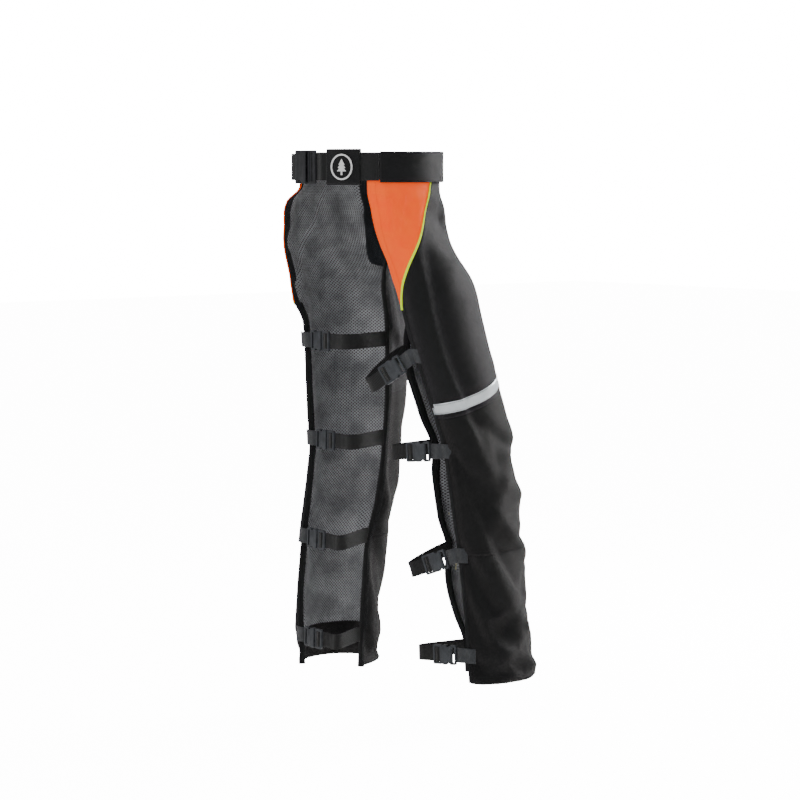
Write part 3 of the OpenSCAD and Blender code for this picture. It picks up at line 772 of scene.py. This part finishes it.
def moulded(name, node, material, soft_mm, body):
    """A moulded part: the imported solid's own faces, merged, with its sharp edges rounded."""
    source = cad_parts[node]
    bm = bmesh.new()
    bm.from_mesh(source.data)
    bm.transform(source.matrix_world)
    bmesh.ops.remove_doubles(bm, verts=bm.verts[:], dist=2e-5)
    bmesh.ops.dissolve_limit(bm, angle_limit=math.radians(3), verts=bm.verts[:], edges=bm.edges[:])
    sharp = [e for e in bm.edges if len(e.link_faces) == 2 and e.calc_face_angle() > math.radians(35)]
    bmesh.ops.bevel(bm, geom=sharp, offset=soft_mm / 1000, offset_type="OFFSET", segments=2,
                    profile=0.5, affect="EDGES", clamp_overlap=True, material=-1)
    piece = new_piece(name, bm, [material])
    stands_for(piece, node, body)

# %% Strap places
STRAPS = (((-331, 27, 0, 24), (-521, 27, 1, 24), (-708, 25, 3, 22), (-899, 25, 2, 22)),
          ((-350, -4, 33, 26), (-533, -5, 4, 24), (-733, -5, 20, 22), (-928, -2, 2, 20)))
SOCKET, PLUG, RUN, WEB_Y = 30, 20, 26, 3.8
STRAP_WIDE, STRAP_THICK = 29, 1.6

def farthest(piece, along):
    """The piece's last point along a direction, and how long the piece is that way."""
    far = max((v.co for v in piece.data.vertices), key=lambda p: p.dot(along))
    near = min((v.co for v in piece.data.vertices), key=lambda p: p.dot(along))
    return far, (far - near).dot(along)

def own(k, z, f, depth):
    x, y = bare_panel(k, z, f, depth)
    return Vector((x, y, z))

def strap_point(k, i, x, y, up=0.0):
    """A point of strap i's own frame: x along the strap, y towards the leg, up across its width."""
    z, turn, droop = STRAPS[k][i][:3]
    start, edge = own(k, z, 0, -3.4), own(k, z, 0, 3) - own(k, z, 0.02, 3)
    c, s = wave_of(-droop)
    ch, sh = wave_of(math.degrees(math.atan2(edge.y, edge.x)) + turn)
    q = (x * c - up * s, y, x * s + up * c)
    return Vector((start.x + q[0] * ch - q[1] * sh, start.y + q[0] * sh + q[1] * ch, z + q[2]))

def bezier(a, b, c, d, t):
    u = 1 - t
    return a * u ** 3 + b * 3 * u * u * t + c * 3 * u * t * t + d * t ** 3

# %% Tabs, webbing and strap buckles
for k in (0, 1):
    side = NAMES[k]
    tabs = []
    for i in range(4):
        z, turn, droop, tab = STRAPS[k][i]
        number = str(i + 1)
        up = (strap_point(k, i, 0, 0, 1) - strap_point(k, i, 0, 0)).normalized()
        on_leg = (own(k, z + 12, 0.02, -3) - own(k, z - 12, 0.02, -3)).normalized()
        points = [own(k, z, f, d) for f, d in ((0.058, -1.4), (0.045, -2), (0.03, -3), (0.015, -3),
                                               (0.002, -3))]
        points += [strap_point(k, i, *p) for p in ((7, 0), (13, 1), (tab - 2, WEB_Y), (tab + 6, WEB_Y))]
        wide = [on_leg] * 3 + [on_leg.lerp(up, t) for t in (0.1, 0.3, 0.6, 0.9, 1, 1)]
        tabs.append(strip_piece(side + "_tab_" + number, k, points, wide, STRAP_WIDE, STRAP_THICK,
                                grey_webbing, 40))

        head = tab + SOCKET
        loop = ((30, 5.5), (21, 5.4), (12, 5.2), (8.6, 4.4), (7.3, 1.8), (7.3, -1.6), (8.4, -3.2),
                (10.8, -3.45), (13.2, -3.2), (14.3, -1.6), (14.4, 1.6), (15.4, 3.4), (18.5, WEB_Y),
                (26, WEB_Y), (36, WEB_Y), (PLUG + RUN, WEB_Y))
        points = [strap_point(k, i, head + x, y) for x, y in loop]
        ahead = (points[-1] - points[-2]).normalized()
        low = z + (4 if k == 0 else -2)
        end = own(k, low, 1, 4)
        back = (end - own(k, low, 0.985, 4)).normalized()
        stop = end - back * 3
        reach = 0.36 * (stop - points[-1]).length
        begin = points[-1]
        points += [bezier(begin, begin + ahead * reach, stop + back * reach, stop, j / 14)
                   for j in range(1, 15)]
        wide = [up] * len(loop) + [up.lerp(Vector((0, 0, 1)), ease(j / 9)) for j in range(1, 15)]
        webbing = strip_piece(side + "_webbing_piece_" + number, k, points, wide, STRAP_WIDE,
                              STRAP_THICK, black_webbing, 150)
        stands_for(webbing, side + "_webbing_" + number, side + "_leg")
        release = strap_point(k, i, 1, 0) - strap_point(k, i, 0, 0)
        along = Vector((SIDE[k] * release.x, release.y, release.z))
        far, reach = farthest(webbing, along)
        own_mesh(webbing)
        moulded(side + "_plug_piece_" + number, side + "_plug_" + number, grey_acetal, 0.45,
                side + "_strap_" + number + "_plug")
    for tab_piece in tabs:
        stands_for(tab_piece, side + "_strap_tabs", side + "_leg")
    moulded(side + "_socket_pieces", side + "_strap_sockets", grey_acetal, 0.55, side + "_leg")
    print(side, "straps made")

# %% [markdown]
# The waistband is four layers of twill, stitched along both edges. Belt webbing passes under the
# buckle's bars; an elastic sleeve on it holds its free end and carries a printed fir tree in a ring.

# %% Belt
BUCKLE_PHI, KEEPER_PHI, BELT_R = 6, -16.8, 210

def rear_point(phi, r):
    c, s = wave_of(phi)
    return Vector((r * s, r * c - ARC_OFF, 0))

def buckle_point(x, y):
    c, s = wave_of(-BUCKLE_PHI)
    return Vector((x * c - y * s, x * s + y * c - ARC_OFF, 0))

upright = Vector((0, 0, 1))

def band_place(u, t):
    a, b = SECTION[round(u * 16) % 16]
    g = mix(-142.4, 156, t) + (1.2 * a if t > 0.99 else 0)
    x, y = oval(90 - abs(g), -2.25 - 2.1 * b - 0.15 * noise.noise(Vector((g / 9, a * 2, 4.4))))
    return Vector((-x if g < 0 else x, y, a * 28.5)) / 1000, (a * 0.0285, g * 0.0035)
waistband = closed_tube("waistband_piece", 16, 260, band_place, band_cloth)
stands_for(waistband, "waistband", "belt")

web_r, sewn_r, short_r = BELT_R - 4, 203.1, BELT_R - 7.6
centre = [buckle_point(x, y) for x, y in ((-6, web_r), (-24, web_r), (-31, web_r - 1.2))]
centre += [rear_point(phi, sewn_r) for phi in range(-5, -38, -2)]
belt_webbing = strip_piece("belt_webbing_piece", 0, centre, [upright] * len(centre), 50, 2.2,
                           belt_webbing_cloth, 120)
stands_for(belt_webbing, "belt_webbing", "belt")
centre = [buckle_point(x, short_r + y) for x, y in ((44, 0), (74, 0), (80, -2.5), (86, -8))]
centre += [rear_point(phi, BAR_R + 4.5 + 0.3 + 1.1) for phi in range(33, 39)]
short = strip_piece("belt_short_webbing_piece", 0, centre, [upright] * len(centre), 50, 2.2,
                    belt_webbing_cloth, 60)
stands_for(short, "belt_short_webbing", "belt")
slide = (buckle_point(1, 0) - buckle_point(0, 0)).normalized()
far, reach = farthest(short, slide)
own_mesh(short)
moulded("belt_socket_piece", "belt_buckle_socket", black_acetal, 0.8, "belt_socket")
moulded("belt_plug_piece", "belt_buckle_plug", black_acetal, 0.7, "belt")

def keeper_place(u, t):
    a = u * math.tau
    c, s = math.cos(a), math.sin(a)
    z = 33.4 * math.copysign(abs(c) ** 0.3, c)
    out = math.copysign(abs(s) ** 0.35, s)
    phi = KEEPER_PHI + mix(-10.3, 10.3, t)
    rim = ease(1 - min(t, 1 - t) * 74 / 4)
    r = 204.25 + 3.35 * out + (0.7 * math.exp(-((abs(z) - 29) / 2.5) ** 2) + 0.5 * rim if out > 0 else 0)
    p = rear_point(phi, r)
    return Vector((p.x, p.y, z)) / 1000, (math.radians(phi) * 0.208, z / 1000)
keeper = laid_cloth("belt_keeper_piece", 48, 26, keeper_place, elastic_cloth, None,
                    lambda p: (rear_point(math.degrees(math.atan2(p.x, p.y + 0.085)), 204.25) / 1000))
bm = bmesh.new()
bm.from_mesh(keeper.data)
bmesh.ops.remove_doubles(bm, verts=bm.verts[:], dist=1e-6)
bm.to_mesh(keeper.data)
bm.free()
wall = keeper.modifiers.new("thickness", "SOLIDIFY")
wall.thickness, wall.offset = 0.0012, -1
keeper.data.polygons.foreach_set("use_smooth", [True] * len(keeper.data.polygons))
stands_for(keeper, "belt_keeper", "keeper")
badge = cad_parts["keeper_badge"]
badge.data.materials.clear()
badge.data.materials.append(badge_print)
print("belt made")

# %% [markdown]
# ## Stitching
# Every seam is lockstitched with bonded thread, about 3.8 mm from stitch to stitch. Each stitch is a
# small capsule that stands a little out of the cloth.

# %% Stitches
def stitched(name, lines, thread, pitch=3.8, long=2.7, fat=0.42):
    bm = bmesh.new()
    for line in lines:
        travelled, following = 0.0, 1.0
        for a, b in zip(line, line[1:]):
            step = max(1e-6, (b - a).length * 1000)
            turned = (b - a).to_track_quat("X", "Z").to_matrix().to_4x4()
            while following < travelled + step:
                spot = a.lerp(b, (following - travelled) / step)
                stretched = Matrix.Diagonal((long / 2000, fat / 1000, fat / 1000, 1))
                bmesh.ops.create_icosphere(bm, subdivisions=1, radius=1,
                                           matrix=Matrix.Translation(spot) @ turned @ stretched)
                following += pitch
            travelled += step
    return new_piece(name, bm, [thread])

def across_leg(k, height, depth, f0=0.04, f1=0.96):
    return [panel(k, height(f), f, depth) for f in (mix(f0, f1, j / 90) for j in range(91))]

def down_leg(k, place, top, bottom, depth):
    return [panel(k, z, place(z), depth) for z in (mix(top, bottom, j / 120) for j in range(121))]

for k in (0, 1):
    side = NAMES[k]
    beside = [down_leg(k, lambda z, w=w: gusset_f(z) + w / CLOTH_WIDTH, HIP_TOP - 1, GUSSET_TIP + 12,
                       -0.3) for w in (8, 12)]
    join_leg(stitched(side + "_hip_stitches", beside, black_thread), k, True)
    hem = down_leg(k, lambda z: min(13.5 / CLOTH_WIDTH, gusset_f(z) * 0.8), HIP_TOP - 1,
                   GUSSET_TIP + 22, -0.1)
    join_leg(stitched(side + "_gusset_stitches", [hem], orange_thread), k, True)
    low = [across_leg(k, lambda f: knee_z(k, f) + 2.5, -0.9),
           across_leg(k, lambda f: shin_z(k, f) + 2.5, -0.9),
           across_leg(k, lambda f: shin_z(k, f) + 8, -0.4),
           across_leg(k, lambda f: hem_z(k, f) + 15, -0.4),
           across_leg(k, lambda f: knee_z(k, f) + 26, -2.0, 0.04, 0.76),
           across_leg(k, lambda f: knee_z(k, f) + 10, -2.0, 0.04, 0.76),
           *(down_leg(k, lambda z, f=f: f, GUSSET_TIP - 4, -LENGTH[k] + 4, depth)
             for f, depth in ((8.5 / CLOTH_WIDTH, -1.4), (1 - 8.5 / CLOTH_WIDTH, -1.4),
                              (12 / CLOTH_WIDTH, 10.6), (1 - 12 / CLOTH_WIDTH, 11.6)))]
    join_leg(stitched(side + "_leg_stitches", low, black_thread), k, False)

def band_line(z, g0, g1, n=200):
    line = []
    for j in range(n + 1):
        g = mix(g0, g1, j / n)
        x, y = oval(90 - abs(g), -4.6)
        line.append(Vector((-x if g < 0 else x, y, z)) / 1000)
    return line

edges = [band_line(z, -142, 155.5) for z in (-25, 25)]
ends = [[rear_point(phi, r) / 1000 + Vector((0, 0, z / 1000)) for z in range(-23, 24, 4)]
        for phi, r in ((-34.5, 204.4), (-36.2, 204.4), (36, 207.2), (34.6, 207.2))]
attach(stitched("belt_stitches", edges + ends, black_thread), "belt")
print("stitched")

# %% [markdown]
# ## Floor, backdrop and light
# A pale floor and backdrop, a large soft key light high on the left, a weaker fill on the right and a
# rim light from the far right, which brings out the sheen along the black thigh cloth.

# %% Floor and light
FLOOR_Z = -1.06  # a little below the hems, because the chaps hang as they are worn
bm = bmesh.new()
bmesh.ops.create_grid(bm, x_segments=1, y_segments=1, size=14)
bmesh.ops.translate(bm, verts=bm.verts[:], vec=(0, 0, FLOOR_Z))
floor_paint, tree, shader = finish_named("matt_painted_studio_floor", Roughness=0.85)
two_tone(tree, shader, blotches(tree, 400), "F6F6F5", "FCFCFB")
shader.inputs["Emission Color"].default_value = ink("FFFFFF")
seen = add(tree, "ShaderNodeLightPath").outputs["Is Camera Ray"]
tree.links.new(maths(tree, "MULTIPLY", seen, 14.0), shader.inputs["Emission Strength"])
floor = new_piece("studio_floor", bm, [floor_paint], smooth=False)
floor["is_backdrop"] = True
world = bpy.data.worlds.new("studio")
bpy.context.scene.world = world
world.use_nodes = True
world.node_tree.nodes["Background"].inputs["Color"].default_value = (1, 1, 1, 1)
tree = world.node_tree
seen = add(tree, "ShaderNodeLightPath").outputs["Is Camera Ray"]
tree.links.new(maths(tree, "ADD", maths(tree, "MULTIPLY", seen, 16.0), 0.38),
               tree.nodes["Background"].inputs["Strength"])

def soft_light(name, place, aim_at, size, watts):
    lamp = bpy.data.lights.new(name, "AREA")
    lamp.shape, lamp.size, lamp.energy = "DISK", size, watts
    made = bpy.data.objects.new(name, lamp)
    bpy.context.collection.objects.link(made)
    made.location = place
    made.rotation_mode = "QUATERNION"
    made.rotation_quaternion = (Vector(aim_at) - Vector(place)).to_track_quat("-Z", "Y")

middle = Vector((0, 0, -0.45))
soft_light("key", towards_camera * 2.6 - picture_right * 1.6 + Vector((0, 0, 1.5)), middle, 1.8, 40)
soft_light("fill", towards_camera * 2.6 + picture_right * 1.9 + Vector((0, 0, 0.3)), middle, 2.0, 9)
soft_light("rim", -towards_camera * 1.2 + picture_right * 2.0 + Vector((0, 0, 0.6)), middle, 1.2, 95)
print("lights:", len(bpy.data.lights))

# %% Size
low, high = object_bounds()
print("visual box", [round(v, 4) for v in (*low, *high)])
